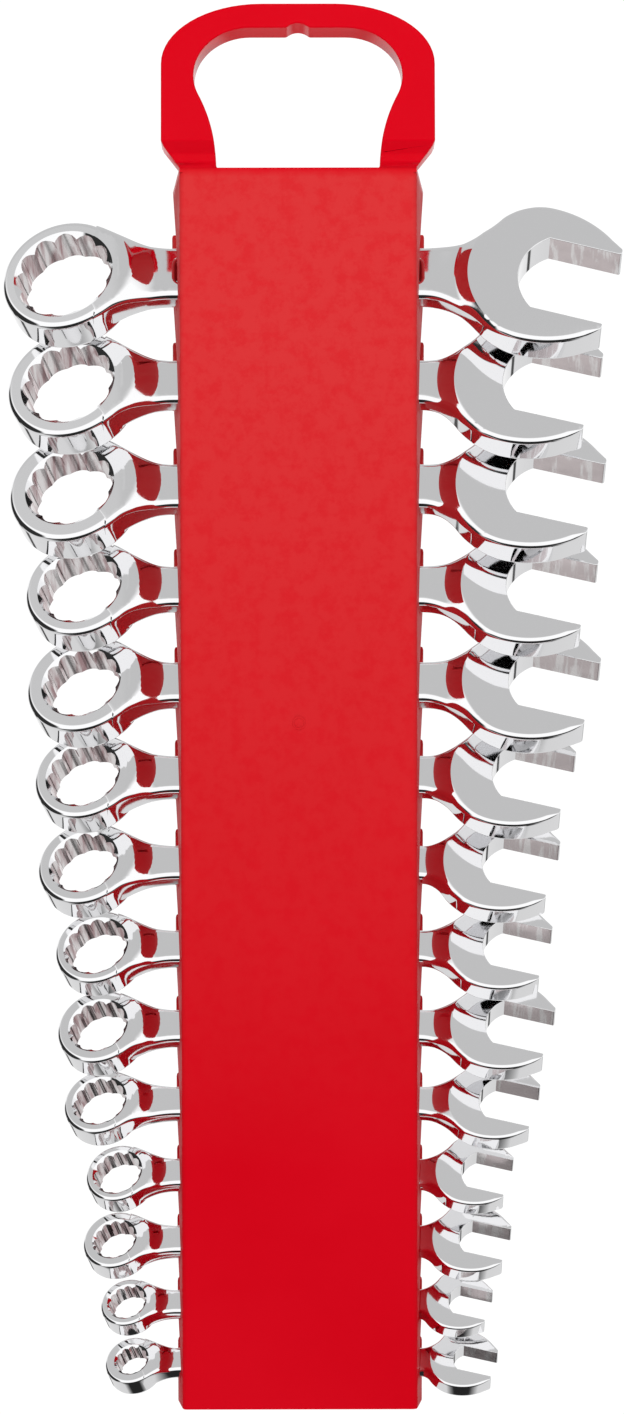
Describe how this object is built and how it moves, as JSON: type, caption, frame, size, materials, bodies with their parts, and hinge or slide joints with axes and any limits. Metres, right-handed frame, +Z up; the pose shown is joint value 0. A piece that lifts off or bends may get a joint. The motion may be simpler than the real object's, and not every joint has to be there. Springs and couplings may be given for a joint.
{
  "type": "wrench set with holder",
  "caption": "Set of short chromed combination wrenches lying in the slots of a moulded red plastic channel with a carrying and hanging handle.",
  "frame": {"origin": "top of the half-round hanging notch under the handle's bar, in the plane of the web's front face", "axes": "+Z up along the holder, -Y out of the smooth web towards the viewer, +X along the wrenches from the box ends to the open ends"},
  "size_m": [0.1379, 0.0365, 0.3056],
  "materials": {
    "red_plastic": "moulded, semi-gloss",
    "chrome_steel": "polished"
  },
  "bodies": {
    "root": {"holder": "red_plastic", "wrench_19mm": "chrome_steel", "wrench_18mm": "chrome_steel", "wrench_17mm": "chrome_steel", "wrench_16mm": "chrome_steel", "wrench_15mm": "chrome_steel", "wrench_14mm": "chrome_steel", "wrench_13mm": "chrome_steel", "wrench_12mm": "chrome_steel", "wrench_11mm": "chrome_steel", "wrench_10mm": "chrome_steel", "wrench_9mm": "chrome_steel", "wrench_8mm": "chrome_steel", "wrench_7mm": "chrome_steel", "wrench_6mm": "chrome_steel"}
  },
  "joints": []
}
